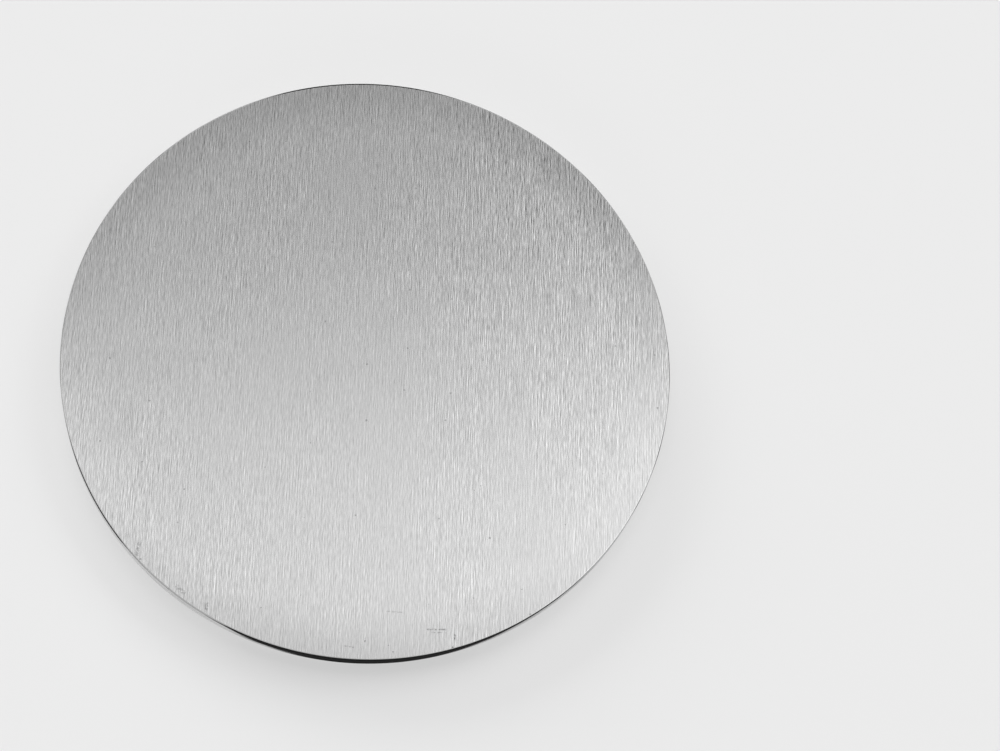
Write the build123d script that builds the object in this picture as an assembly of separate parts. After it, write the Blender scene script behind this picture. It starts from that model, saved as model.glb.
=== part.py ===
from build123d import *
import os

# A round planar sputtering target: one solid disc of alloy, ground flat on both faces.
# It lies on its back face. The origin is the centre of that face, and +Z points out of the
# front face, the one that is sputtered away in use. All sizes are in millimetres.

# Stock size: a four-inch target, three millimetres thick.
diameter = 101.6
thickness = 3.0

# The sharp corners that cutting and grinding leave are rubbed down to this small radius.
edge_radius = 0.25


def half_section():
    """The section on one side of the axis, with both of its corners at the rim rounded."""
    blank = Rectangle(diameter / 2, thickness, align=(Align.MIN, Align.MIN))
    rim_corners = blank.vertices().group_by(Axis.X)[-1]
    return Plane.XZ * fillet(rim_corners, edge_radius)


def make_disc():
    """The whole target, turned from its half section: no hole, step or backing plate."""
    disc = revolve(half_section(), axis=Axis.Z)
    disc.label = "target_disc"
    return disc


os.makedirs("parts", exist_ok=True)
target_disc = make_disc()
export_step(target_disc, "parts/target_disc.step")

straight_rim = thickness - 2 * edge_radius
print(f"target_disc {diameter} x {thickness} mm, straight part of the rim {straight_rim:.2f} mm")
print(f"volume {target_disc.volume / 1000:.3f} cubic centimetres")
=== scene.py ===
from math import cos, pi, radians, sin

import bmesh
import bpy
from bpy.props import FloatProperty, FloatVectorProperty, IntProperty, PointerProperty
from mathutils import Matrix, Vector


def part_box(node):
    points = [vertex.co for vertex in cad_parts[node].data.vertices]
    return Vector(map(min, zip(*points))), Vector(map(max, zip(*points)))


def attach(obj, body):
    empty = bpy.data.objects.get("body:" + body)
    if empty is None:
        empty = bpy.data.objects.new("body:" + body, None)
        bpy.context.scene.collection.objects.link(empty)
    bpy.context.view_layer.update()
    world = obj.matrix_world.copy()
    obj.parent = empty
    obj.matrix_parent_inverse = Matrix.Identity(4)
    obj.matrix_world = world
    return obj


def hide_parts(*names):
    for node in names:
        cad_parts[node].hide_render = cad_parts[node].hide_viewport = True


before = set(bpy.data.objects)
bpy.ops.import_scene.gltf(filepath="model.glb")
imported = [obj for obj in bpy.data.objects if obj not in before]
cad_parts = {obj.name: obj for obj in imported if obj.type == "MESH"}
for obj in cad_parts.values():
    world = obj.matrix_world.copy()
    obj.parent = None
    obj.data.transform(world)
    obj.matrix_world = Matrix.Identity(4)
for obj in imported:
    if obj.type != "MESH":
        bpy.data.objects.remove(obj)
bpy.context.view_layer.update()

bl_info = {
    "name": "Sputtering target",
    "version": (1, 0, 0),
    "blender": (4, 5, 0),
    "location": "3D View > Sidebar > Target",
    "description": "Builds a round ground sputtering target and the studio it lies in",
    "category": "Object",
}

NODE = "target_disc"
BODY = "root"
MM = 0.001

DISC_LOW, DISC_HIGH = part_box(NODE)


class DiscSizes(bpy.types.PropertyGroup):
    """Real sizes of the disc, in metres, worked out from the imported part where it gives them."""

    radius: FloatProperty(
        name="Radius",
        description="From the centre to the rim",
        default=DISC_HIGH.x,
        unit="LENGTH",
        precision=5,
    )
    thickness: FloatProperty(
        name="Thickness",
        description="From the back face to the front face",
        default=DISC_HIGH.z - DISC_LOW.z,
        unit="LENGTH",
        precision=5,
    )
    edge_radius: FloatProperty(
        name="Edge radius",
        description="Radius that the corners at the rim are rubbed down to",
        default=0.25 * MM,
        unit="LENGTH",
        precision=6,
    )
    segments: IntProperty(
        name="Segments",
        description="Faces in one turn of the rim",
        default=512,
        min=64,
        max=1024,
    )
    edge_steps: IntProperty(
        name="Edge steps",
        description="Faces across each rounded edge",
        default=6,
        min=2,
        max=12,
    )


class FaceFinish(bpy.types.PropertyGroup):
    """The ground finish of the front and back faces."""

    colour: FloatVectorProperty(
        name="Metal colour",
        description="Mean colour of the freshly ground alloy",
        subtype="COLOR",
        default=(0.58, 0.58, 0.58),
        min=0.0,
        max=1.0,
    )
    roughness: FloatProperty(
        name="Roughness",
        description="How far the grinding blurs a reflection",
        default=0.23,
        min=0.0,
        max=1.0,
        subtype="FACTOR",
    )
    stroke_contrast: FloatProperty(
        name="Stroke contrast",
        description="How much lighter or darker the grinding strokes are than the metal between them",
        default=0.27,
        min=0.0,
        max=1.0,
        subtype="FACTOR",
    )
    stroke_lean: FloatProperty(
        name="Stroke lean",
        description="How far the sides of the strokes lean across the grain, as a slope",
        default=0.095,
        min=0.0,
        max=1.0,
        subtype="FACTOR",
    )
    margin_lean: FloatProperty(
        name="Margin lean",
        description="Outward slope that rubbing down leaves at the edge of the face",
        default=0.044,
        min=0.0,
        max=0.2,
        precision=3,
    )


class RimFinish(bpy.types.PropertyGroup):
    """The turned rim: bare metal, with a dark skin and painted shade on parts of it."""

    bare_colour: FloatVectorProperty(
        name="Bare colour",
        description="Mean colour of the turned metal where it is bare",
        subtype="COLOR",
        default=(0.6, 0.6, 0.6),
        min=0.0,
        max=1.0,
    )
    roughness: FloatProperty(
        name="Roughness",
        description="How far the bare turned metal blurs a reflection",
        default=0.45,
        min=0.0,
        max=1.0,
        subtype="FACTOR",
    )
    # This colour is also painted shade: the near side of the wall and thin lines along the edges are
    # darkened with it.
    skin_and_shade_colour: FloatVectorProperty(
        name="Skin colour",
        description="Mean colour of the dark skin that heat and cutting left on the rim",
        subtype="COLOR",
        default=(0.006, 0.006, 0.006),
        min=0.0,
        max=1.0,
    )
    skin_and_shade_roughness: FloatProperty(
        name="Skin roughness",
        description="How far the dark skin blurs a reflection",
        default=0.75,
        min=0.0,
        max=1.0,
        subtype="FACTOR",
    )


class StudioSettings(bpy.types.PropertyGroup):
    """The floor, the light and the camera."""

    floor_colour: FloatVectorProperty(
        name="Floor colour",
        description="Colour of the pale floor",
        subtype="COLOR",
        default=(0.83, 0.83, 0.83),
        min=0.0,
        max=1.0,
    )
    azimuth: FloatProperty(
        name="Azimuth",
        description="Where the camera stands, round the disc from the near side",
        default=radians(-5.91),
        subtype="ANGLE",
    )
    elevation: FloatProperty(
        name="Elevation",
        description="How high the camera stands, seen from the middle of the disc",
        default=radians(70.83),
        subtype="ANGLE",
    )
    distance: FloatProperty(
        name="Distance",
        description="From the camera to the middle of the disc",
        default=388.1 * MM,
        unit="LENGTH",
    )
    roll: FloatProperty(
        name="Roll",
        description="Turn of the camera about its own line of sight",
        default=radians(17.83),
        subtype="ANGLE",
    )
    focal_length: FloatProperty(
        name="Focal length",
        description="Focal length in millimetres, on a sensor 36 millimetres wide",
        default=83.05,
    )


class Value:
    """A shader socket that can be used in Python sums; each operator adds its Math node."""

    def __init__(self, tree, socket):
        self.tree = tree
        self.socket = socket

    def math(self, operation, *others, clamp=False):
        inputs = {i: value for i, value in enumerate((self, *others))}
        return self.tree.add("ShaderNodeMath", {"operation": operation, "use_clamp": clamp}, inputs)

    def __add__(self, other):
        return self.math("ADD", other)

    __radd__ = __add__

    def __sub__(self, other):
        return self.math("SUBTRACT", other)

    def __rsub__(self, other):
        return (self * -1.0) + other

    def __mul__(self, other):
        return self.math("MULTIPLY", other)

    __rmul__ = __mul__

    def __truediv__(self, other):
        return self.math("DIVIDE", other)

    def __pow__(self, other):
        return self.math("POWER", other)

    def clamped(self):
        return self.math("ADD", 0.0, clamp=True)

    def at_least(self, low):
        return self.math("MAXIMUM", low)

    def size(self):
        return self.math("ABSOLUTE")

    def step(self, low, high):
        """0 below low, 1 above high and a smooth rise between."""
        settings = {"interpolation_type": "SMOOTHSTEP", "clamp": True}
        return self.tree.add("ShaderNodeMapRange", settings, {"Value": self, 1: low, 2: high})


class Tree:
    """A node tree that is written as expressions."""

    def __init__(self, owner):
        owner.use_nodes = True
        self.nodes = owner.node_tree.nodes
        self.links = owner.node_tree.links
        self.nodes.clear()

    def node(self, kind, settings=None, inputs=None):
        """Adds a node, gives it its settings and then its socket values or links."""
        node = self.nodes.new(kind)
        for name, value in (settings or {}).items():
            setattr(node, name, value)
        for name, value in (inputs or {}).items():
            self.feed(node.inputs[name], value)
        return node

    def add(self, kind, settings=None, inputs=None, output=0):
        """Adds a node and returns one of its outputs."""
        return Value(self, self.node(kind, settings, inputs).outputs[output])

    def feed(self, socket, value):
        if isinstance(value, Value):
            self.links.new(value.socket, socket)
        else:
            socket.default_value = value

    def vector(self, x, y):
        return self.add("ShaderNodeCombineXYZ", None, {"X": x, "Y": y, "Z": 0.0})

    def colour(self, red, green, blue):
        inputs = {"Red": red, "Green": green, "Blue": blue}
        return self.add("ShaderNodeCombineColor", None, inputs)

    def vector_math(self, operation, *vectors):
        inputs = dict(enumerate(vectors))
        return self.add("ShaderNodeVectorMath", {"operation": operation}, inputs)

    def dot(self, vector, direction):
        settings = {"operation": "DOT_PRODUCT"}
        return self.add("ShaderNodeVectorMath", settings, {0: vector, 1: direction}, output="Value")

    def noise(self, across, along, detail):
        """Smooth noise over two measures, 0 to 1, with cells one unit wide."""
        vector = self.vector(across, along)
        inputs = {"Vector": vector, "Scale": 1.0, "Detail": detail, "Roughness": 0.5}
        return self.add("ShaderNodeTexNoise", {"noise_dimensions": "2D"}, inputs)


def grinding_strokes(tree, x, y, shift):
    """Straight strokes along Y of several lengths, about minus one to plus one.

    Each groove is a hair wide and has the burr that it threw up beside it.
    """
    # The strokes are noise drawn out along the grain, with its cells counted per millimetre. Each
    # length of stroke has its cells along the grain and its depth, and apart keeps it from lying on
    # the noise of another.
    cells_across = 5.7
    lengths = ((0.95, 1.5), (0.36, 1.3), (0.12, 1.1))
    apart = 31.7
    burr_offset = 1.0
    burr_height = 0.35
    strokes = 0.0
    for number, (cells_along, depth) in enumerate(lengths):
        across = x * cells_across + shift + apart * number
        along = y * cells_along
        groove = tree.noise(across, along, detail=0.0) - 0.5
        burr = tree.noise(across + burr_offset, along, detail=0.0) - 0.5
        strokes = strokes + (groove - burr * burr_height) * depth
    return strokes


def stroke_depth(tree, x, y, shift):
    """How deep the strokes are: calm near the middle, deeper to the far side and the right.

    The steps are in millimetres from the middle of the face. On top of that there are patches a
    centimetre or more wide, where the wheel bit deeper.
    """
    calm = 0.6
    far = y.step(-8.0, 38.0)
    right = x.step(-2.0, 36.0) * (1.0 - x.step(38.0, 50.0) * 0.5)
    left = (x * -1.0).step(0.0, 35.0)
    near_right = (y * -1.0).step(-5.0, 30.0) * x.step(10.0, 30.0)
    sides = far * 0.8 + right * 0.55 + left * 0.35 - near_right * 0.55
    corners = far * right * 0.5 - far * left * 0.3
    patches = tree.noise(x * 0.09 + shift, y * 0.035, detail=2.0) + 0.5
    return (sides + corners + calm) * patches


def pits(tree, x, y, shift):
    """A few round pits, a hair or two wide, scattered over a face. Sizes in millimetres."""
    apart = 7.0
    share_of_points = 0.45
    growth = 0.28
    soft_edge = 0.06
    inputs = {"Vector": tree.vector(x / apart + shift, y / apart), "Scale": 1.0}
    cells = tree.node("ShaderNodeTexVoronoi", {"voronoi_dimensions": "2D"}, inputs).outputs
    chance = tree.dot(Value(tree, cells["Color"]), (1.0, 0.0, 0.0))
    reach = Value(tree, cells["Distance"]) * apart
    radius = (chance - share_of_points).at_least(0.0) * growth
    return 1.0 - (reach - radius).step(0.0, soft_edge)


def scratch(x, y, middle, length, width, turn):
    """1 along one straight scratch and 0 beside it. Sizes in millimetres.

    It fades over a tenth of its length at each end and over two fifths of its width at each side.
    """
    from_x, from_y = x - middle[0], y - middle[1]
    along = from_x * cos(turn) + from_y * sin(turn)
    beside = from_y * cos(turn) - from_x * sin(turn)
    inside = 1.0 - along.size().step(length * 0.4, length * 0.5)
    return inside * (1.0 - beside.size().step(width * 0.2, width * 0.6))


# Middle, length, width, turn from +X and depth of each mark, in millimetres and radians. The depth
# has no unit.
HANDLING_MARKS = (
    ((12.6, -45.3), 3.4, 0.30, 0.03, 1.0),
    ((13.0, -45.8), 2.4, 0.24, 0.02, 0.7),
    ((5.9, -42.7), 3.0, 0.20, -0.02, 0.5),
    ((15.6, -46.4), 1.3, 0.30, 1.55, 1.3),
    ((15.3, -48.3), 1.0, 0.30, 1.50, 1.5),
    ((-1.2, -48.7), 2.6, 0.20, -0.10, 0.8),
    ((1.2, -47.5), 0.8, 0.26, 1.57, 1.0),
    ((-35.8, -34.2), 2.6, 0.80, 1.40, 0.6),
    ((-28.6, -40.6), 2.2, 0.80, -0.70, 0.6),
    ((-24.3, -43.2), 1.6, 0.60, 1.50, 0.8),
)


def handling_marks(tree, x, y):
    """The scratches and scuffs that the front face has picked up, most of them near its near side."""
    marks = 0.0
    for middle, length, width, turn, depth in HANDLING_MARKS:
        marks = marks + scratch(x, y, middle, length, width, turn) * depth
    ragged = tree.noise(x * 3.0, y * 3.0, detail=1.0).step(0.35, 0.6)
    return marks * ragged


def leaning_normal(tree, lean_x, lean_y):
    """The surface's own normal, leaning by the two slopes."""
    normal = tree.add("ShaderNodeNewGeometry", output="Normal")
    leaning = tree.vector_math("ADD", normal, tree.vector(lean_x, lean_y))
    return tree.vector_math("NORMALIZE", leaning)


def rim_stretch(angle, rise, fall):
    """1 on a stretch of the rim and 0 on the rest of it.

    Rise and fall are the directions from the middle between which it fades in and out, in radians
    from +X.
    """
    return angle.step(*rise) * (1.0 - angle.step(*fall))


def turning_lines(tree, angle, z):
    """Fine and broad lines round the rim, about minus a half to plus a half."""
    fine = tree.noise(angle * 5.0, z * 9.0, detail=2.0)
    broad = tree.noise(angle * 2.5 + 7.0, z * 2.2, detail=2.0)
    return fine + broad - 1.0


def dark_skin_and_painted_shade(tree, y, z, angle, turn, wall, turning):
    """How much dark skin and painted shade lies on the rim and on the rounded edge of the front face,
    0 to 1.

    The steps of y and z are in millimetres. Turn goes from 0 where the face ends to 1 at the rim.
    """
    reach_down = 3.2
    faint_stain = 0.12
    faint_line = 0.25
    mottle = tree.noise(angle * 4.0 + 3.0, z * 0.5, detail=3.0)
    # Painted shade: on the near side the dark reaches down the whole wall, standing in for shade
    # there. The mottle adds faint real stains.
    painted_near_shade = rim_stretch(angle, (-2.15, -1.60), (-1.50, -0.75)) * reach_down
    painted_shade_patch = (z + painted_near_shade + (mottle - 0.5) * 0.9 + turning * 1.5).step(2.75, 3.4)
    shade_and_stain_on_wall = (painted_shade_patch + mottle.step(0.5, 0.75) * faint_stain).clamped()

    # Painted shade: thin dark lines on the rounded edge at the far side, the lower left and the near
    # side, where the edge lies in shade.
    painted_far_shade_line = rim_stretch(angle, (1.15, 1.65), (1.75, 2.10)) * 1.2
    painted_far_shade_line = painted_far_shade_line + y.step(20.0, 35.0) * faint_line
    painted_left_shade_line = rim_stretch(angle, (-2.95, -2.70), (-2.55, -2.35)) * 0.6
    painted_near_shade_line = (y * -1.0).step(20.0, 40.0) * faint_line
    blotches = mottle + 0.5
    on_far_edge = painted_far_shade_line * blotches * turn.step(-0.5, 0.1)
    on_near_edge = (painted_left_shade_line + painted_near_shade_line) * blotches * turn.step(0.2, 0.6)
    patch_on_edge = painted_shade_patch * turn.step(0.4, 0.7)
    on_edge = z.step(2.55, 2.7) * (on_far_edge + on_near_edge + patch_on_edge)
    return (wall * shade_and_stain_on_wall + on_edge).clamped()


def mixed_colour(tree, parts):
    """A sum of plain colours, each times its own share, which varies over the surface."""
    channels = [sum(colour[i] * share for colour, share in parts) for i in range(3)]
    return tree.colour(*channels)


def target_alloy(sizes, face, rim):
    """The ground faces, the rounded edges and the turned rim with dark skin, painted shade and sheen,
    in one material.
    """
    material = bpy.data.materials.new("target_alloy")
    tree = Tree(material)
    place = tree.add("ShaderNodeTexCoord", output="Object")
    split = tree.node("ShaderNodeSeparateXYZ", None, {"Vector": place}).outputs
    x, y, z = [Value(tree, split[axis]) / MM for axis in "XYZ"]
    from_middle = (x * x + y * y) ** 0.5
    angle = y.math("ARCTAN2", x)
    radius, corner = sizes.radius / MM, sizes.edge_radius / MM

    # Turn goes from 0 where a face ends to 1 at the rim. Wall is 1 on the rim, flat is 1 on both
    # faces, and front is 1 on the front face and 0 on the back face.
    turn = (from_middle - (radius - corner)) / corner
    wall = turn.step(0.75, 0.95)
    flat = 1.0 - turn.step(0.0, 0.3)
    front = z.step(0.5, 2.5)

    # The two faces, and the shade and the lean of one face, take noise from far apart. The leans
    # run twice as far along the grain.
    shift = front * 27.0
    lean_shift = shift + 500.0
    depth = stroke_depth(tree, x, y, shift)
    strokes = grinding_strokes(tree, x, y, shift) * depth * flat
    leans = grinding_strokes(tree, x, y * 0.5, lean_shift) * depth * flat
    pit_depth = 0.7
    marks = (handling_marks(tree, x, y) * front + pits(tree, x, y, shift) * pit_depth) * flat

    mark_shade = 0.45
    bare_contrast = 0.9
    skin_and_shade_contrast = 0.8
    painted_sheen_level = 0.3
    turning = turning_lines(tree, angle, z)
    # Painted sheen: a lighter stretch of bare rim on the near left, standing in for the pale floor
    # that it reflects there.
    painted_sheen = rim_stretch(angle, (-3.0, -2.7), (-2.0, -1.8)) * painted_sheen_level
    skin_and_shade = dark_skin_and_painted_shade(tree, y, z, angle, turn, wall, turning)
    bare = 1.0 - skin_and_shade
    ground_shade = (strokes * face.stroke_contrast + 1.0) * (1.0 - marks * mark_shade)
    turned_shade_and_sheen = turning * bare_contrast + painted_sheen + 1.0
    colour = mixed_colour(
        tree,
        (
            (face.colour, ground_shade * (1.0 - wall) * bare),
            (rim.bare_colour, turned_shade_and_sheen * wall * bare),
            (rim.skin_and_shade_colour, (turning * skin_and_shade_contrast + 1.0) * skin_and_shade),
        ),
    )

    stroke_gloss = 0.03
    mark_roughness = 0.15
    rough = face.roughness - strokes * stroke_gloss + marks * mark_roughness
    rough = rough + (rim.roughness - rough) * wall
    rough = rough + (rim.skin_and_shade_roughness - rough) * skin_and_shade

    # Towards the rim the face leans a little outwards, along the grain only.
    margin_width = 9.6
    margin = from_middle.step(radius - margin_width, radius) * face.margin_lean
    outward = y / from_middle.at_least(1.0)
    normal = leaning_normal(tree, leans * face.stroke_lean, outward * margin * flat)
    bump = tree.add(
        "ShaderNodeBump",
        None,
        {"Strength": 0.4, "Distance": 0.02 * MM, "Height": turning * wall, "Normal": normal},
    )
    shader = tree.add(
        "ShaderNodeBsdfPrincipled",
        None,
        {
            "Base Color": colour,
            "Roughness": rough.clamped(),
            "Metallic": bare,
            "Specular IOR Level": 0.05,
            "Normal": bump,
        },
    )
    tree.node("ShaderNodeOutputMaterial", None, {"Surface": shader})
    return material


def half_section(sizes):
    """Points from the middle of the back face, round the rim, to the middle of the front face."""
    rim, top, corner = sizes.radius, sizes.thickness, sizes.edge_radius
    flat = rim - corner
    ring_shares = (0.0, 0.25, 0.5, 0.75, 0.92)
    wall_shares = (0.25, 0.5, 0.75)
    rings = [flat * share for share in ring_shares]
    turns = [pi / 2 * i / sizes.edge_steps for i in range(sizes.edge_steps + 1)]
    back_edge = [(flat + corner * sin(t), corner - corner * cos(t)) for t in turns]
    front_edge = [(r, top - z) for r, z in reversed(back_edge)]
    wall = [(rim, corner + (top - 2 * corner) * share) for share in wall_shares]
    back_face = [(r, 0.0) for r in rings]
    front_face = [(r, top) for r in reversed(rings)]
    return back_face + back_edge + wall + front_edge + front_face


def turned_mesh(name, section, segments):
    """A closed mesh, turned from its half section about Z."""
    mesh = bmesh.new()
    loops = []
    for radius, z in section:
        if radius == 0.0:
            loops.append([mesh.verts.new((0.0, 0.0, z))])
            continue
        angles = [2 * pi * i / segments for i in range(segments)]
        loops.append([mesh.verts.new((radius * cos(a), radius * sin(a), z)) for a in angles])
    for below, above in zip(loops, loops[1:]):
        for i in range(segments):
            j = (i + 1) % segments
            around = ((below, i), (below, j), (above, j), (above, i))
            corners = [loop[k % len(loop)] for loop, k in around]
            # At the middle two corners are the same point, and the face is a triangle.
            face = mesh.faces.new(dict.fromkeys(corners))
            face.smooth = len({corner.co.z for corner in corners}) > 1
    data = bpy.data.meshes.new(name)
    mesh.to_mesh(data)
    mesh.free()
    return data


class TARGET_OT_disc(bpy.types.Operator):
    """Build the disc with its ground faces, rounded edges and turned rim"""

    bl_idname = "target.disc"
    bl_label = "Build the disc"

    def execute(self, context):
        settings = context.scene
        sizes = settings.target_sizes
        section = half_section(sizes)
        data = turned_mesh("target", section, sizes.segments)
        data.materials.append(target_alloy(sizes, settings.target_face, settings.target_rim))
        disc = bpy.data.objects.new("target", data)
        settings.collection.objects.link(disc)
        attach(disc, BODY)
        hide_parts(NODE)
        return {"FINISHED"}


def seen_directly(tree):
    """1 for rays from the camera, from reflections and through glass, and 0 for the rest."""
    path = tree.node("ShaderNodeLightPath").outputs
    kinds = ("Is Camera Ray", "Is Glossy Ray", "Is Transmission Ray")
    return sum(Value(tree, path[kind]) for kind in kinds).clamped()


def pale_floor(colour):
    """A diffuse floor; to the camera and in reflections, part of its colour stays out of the shade."""
    unshaded_share = 0.6
    material = bpy.data.materials.new("pale_floor")
    tree = Tree(material)
    diffuse = tree.add("ShaderNodeBsdfDiffuse", None, {"Color": (*colour, 1.0)})
    even = tree.add("ShaderNodeEmission", None, {"Color": (*colour, 1.0), "Strength": 1.0})
    share = seen_directly(tree) * unshaded_share
    surface = tree.add("ShaderNodeMixShader", None, {0: share, 1: diffuse, 2: even})
    tree.node("ShaderNodeOutputMaterial", None, {"Surface": surface})
    return material


def add_floor(scene, colour):
    """A wide flat floor, just below the disc that lies on it."""
    half = 1.5
    gap = 0.01 * MM
    corners = [(-half, -half, 0.0), (half, -half, 0.0), (half, half, 0.0), (-half, half, 0.0)]
    data = bpy.data.meshes.new("floor")
    data.from_pydata(corners, [], [(0, 1, 2, 3)])
    data.materials.append(pale_floor(colour))
    floor = bpy.data.objects.new("floor", data)
    floor.location.z = -gap
    scene.collection.objects.link(floor)


def soft_world(scene):
    """Pale surroundings below a dim ceiling, with a wide soft panel overhead, and an even fill.

    The camera and reflections see the room. All other rays see only the fill. Each step is
    between two cosines of the angle from a direction.
    """
    surroundings = 0.84
    panel_gain = 0.775
    beyond_level = 0.568
    farthest_loss = 0.15
    before_loss = 0.45
    lobe_level = 3.0
    lobe_sharpness = 45.0
    fill = 0.3
    world = bpy.data.worlds.new("studio")
    scene.world = world
    tree = Tree(world)
    way = tree.add("ShaderNodeTexCoord", output="Generated")
    ceiling = tree.dot(way, (0.0, 0.0, 1.0)).step(0.4, 0.75)
    away = tree.dot(way, (-0.1, 0.99, 0.0))

    # Going away from the near side, the ceiling is half dim, then bright where the panel is, and
    # then dimmer in two steps.
    overhead = (1.0 - away.step(0.286, 0.339)) * panel_gain + beyond_level
    overhead = overhead * (1.0 - away.step(0.4, 0.52) * farthest_loss)
    before_panel = ceiling * (1.0 - away.step(0.1, 0.239))
    lobe_middle = Vector((0.455, 0.04, 1.0)).normalized()
    lobe = tree.dot(way, lobe_middle).at_least(0.0) ** lobe_sharpness
    seen = ceiling * (overhead - surroundings) + surroundings + lobe * lobe_level
    seen = seen * (1.0 - before_panel * before_loss)
    light = seen_directly(tree) * (seen - fill) + fill
    colour = tree.colour(light, light, light)
    shader = tree.add("ShaderNodeBackground", None, {"Color": colour, "Strength": 1.0})
    tree.node("ShaderNodeOutputWorld", None, {"Surface": shader})


def add_camera(scene, studio):
    """A camera that looks down on the disc from the near side, turned about its line of sight."""
    azimuth, elevation = studio.azimuth, studio.elevation
    outward = Vector((sin(azimuth), -cos(azimuth), 0.0)) * cos(elevation)
    place = (outward + Vector((0.0, 0.0, sin(elevation)))) * studio.distance
    aim = Vector((22.28, -0.54, 0.0)) * MM
    data = bpy.data.cameras.new("camera")
    data.sensor_width = 36.0
    data.lens = studio.focal_length
    data.clip_start = 0.01
    camera = bpy.data.objects.new("camera", data)
    ahead = (aim - place).normalized()
    right = ahead.cross(Vector((0, 0, 1))).normalized()
    up = right.cross(ahead)
    rolled_right = right * cos(studio.roll) + up * sin(studio.roll)
    rolled_up = up * cos(studio.roll) - right * sin(studio.roll)
    turn = Matrix((rolled_right, rolled_up, -ahead)).transposed()
    camera.matrix_world = Matrix.Translation(place) @ turn.to_4x4()
    scene.collection.objects.link(camera)
    scene.camera = camera


def add_lamp(scene, name, place, size, level):
    """A soft lamp aimed at the disc. Level is how bright it makes a white floor that faces it."""
    place = Vector(place)
    data = bpy.data.lights.new(name, "AREA")
    data.shape = "RECTANGLE"
    data.size, data.size_y = size
    data.energy = level * pi * 4 * place.length_squared
    lamp = bpy.data.objects.new(name, data)
    lamp.location = place
    lamp.rotation_mode = "QUATERNION"
    lamp.rotation_quaternion = (-place).to_track_quat("-Z", "Y")
    lamp.visible_camera = False
    lamp.visible_glossy = False
    scene.collection.objects.link(lamp)


# Name, place and size in metres, and level of each lamp.
LAMPS = (
    ("high_window", (0.0, 14.1, 14.1), (22.0, 14.0), 0.32),
    ("low_left_window", (-9.9, 17.1, 3.0), (21.0, 5.2), 1.6),
    ("low_right_window", (13.3, 13.3, 6.8), (21.0, 5.6), 0.53),
    ("low_front_window", (-6.8, -18.6, 2.8), (21.0, 4.5), 0.30),
)


class TARGET_OT_stage(bpy.types.Operator):
    """Add the pale floor, the soft studio light and the camera"""

    bl_idname = "target.stage"
    bl_label = "Set the stage"

    def execute(self, context):
        scene = context.scene
        studio = scene.target_studio
        scene.view_settings.view_transform = "Standard"
        add_floor(scene, studio.floor_colour)
        soft_world(scene)
        for lamp in LAMPS:
            add_lamp(scene, *lamp)
        add_camera(scene, studio)
        return {"FINISHED"}


class TARGET_PT_panel(bpy.types.Panel):
    """Sizes, colours and the two build steps"""

    bl_idname = "TARGET_PT_panel"
    bl_label = "Sputtering target"
    bl_space_type = "VIEW_3D"
    bl_region_type = "UI"
    bl_category = "Target"

    def draw(self, context):
        scene = context.scene
        for group in (scene.target_sizes, scene.target_face, scene.target_rim, scene.target_studio):
            box = self.layout.box()
            for name in group.__annotations__:
                box.prop(group, name)
        for operator in (TARGET_OT_disc, TARGET_OT_stage):
            self.layout.operator(operator.bl_idname)


GROUPS = {
    "target_sizes": DiscSizes,
    "target_face": FaceFinish,
    "target_rim": RimFinish,
    "target_studio": StudioSettings,
}
OTHER_CLASSES = (TARGET_OT_disc, TARGET_OT_stage, TARGET_PT_panel)


def register():
    for cls in (*GROUPS.values(), *OTHER_CLASSES):
        bpy.utils.register_class(cls)
    for name, cls in GROUPS.items():
        setattr(bpy.types.Scene, name, PointerProperty(type=cls))


def unregister():
    for name in GROUPS:
        delattr(bpy.types.Scene, name)
    for cls in reversed((*GROUPS.values(), *OTHER_CLASSES)):
        bpy.utils.unregister_class(cls)


def main():
    register()
    bpy.ops.target.disc()
    bpy.ops.target.stage()


if __name__ == "__main__":
    main()
